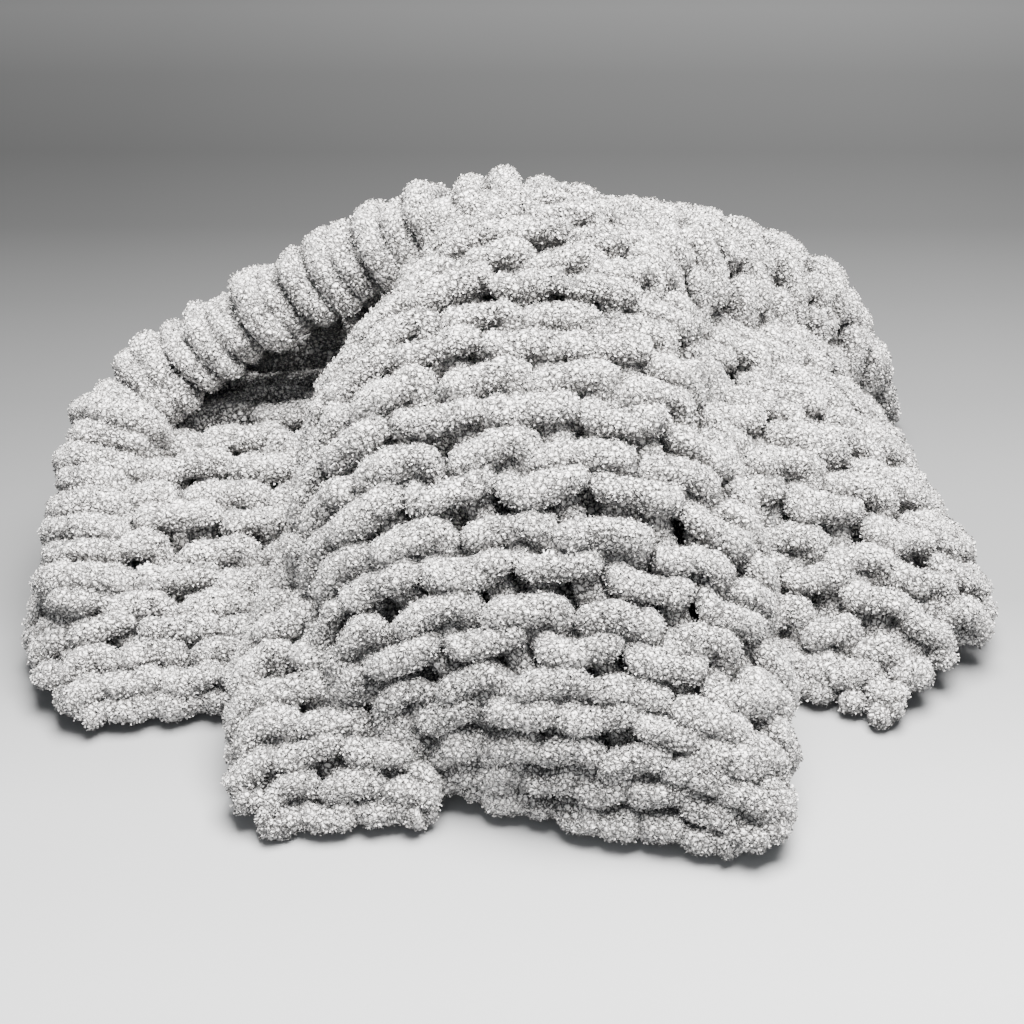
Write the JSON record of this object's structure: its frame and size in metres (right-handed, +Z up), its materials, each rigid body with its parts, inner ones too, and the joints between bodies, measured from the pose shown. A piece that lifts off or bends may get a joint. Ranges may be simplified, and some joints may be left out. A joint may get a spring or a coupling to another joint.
{
  "type": "chunky knit blanket",
  "caption": "Chunky knit blanket heaped loosely on the floor, its front half drawn forward over the crest, with a rolled edge and spread folds.",
  "frame": {"origin": "on the floor, under the middle of the heap's bounding box", "axes": "+X to the right as seen from the front, +Y to the back, +Z up"},
  "size_m": [0.5681, 0.4565, 0.2429],
  "materials": {
    "fabric": "short soft chenille pile, matte, warm light grey"
  },
  "bodies": {
    "root": {"blanket": "fabric"}
  },
  "joints": []
}
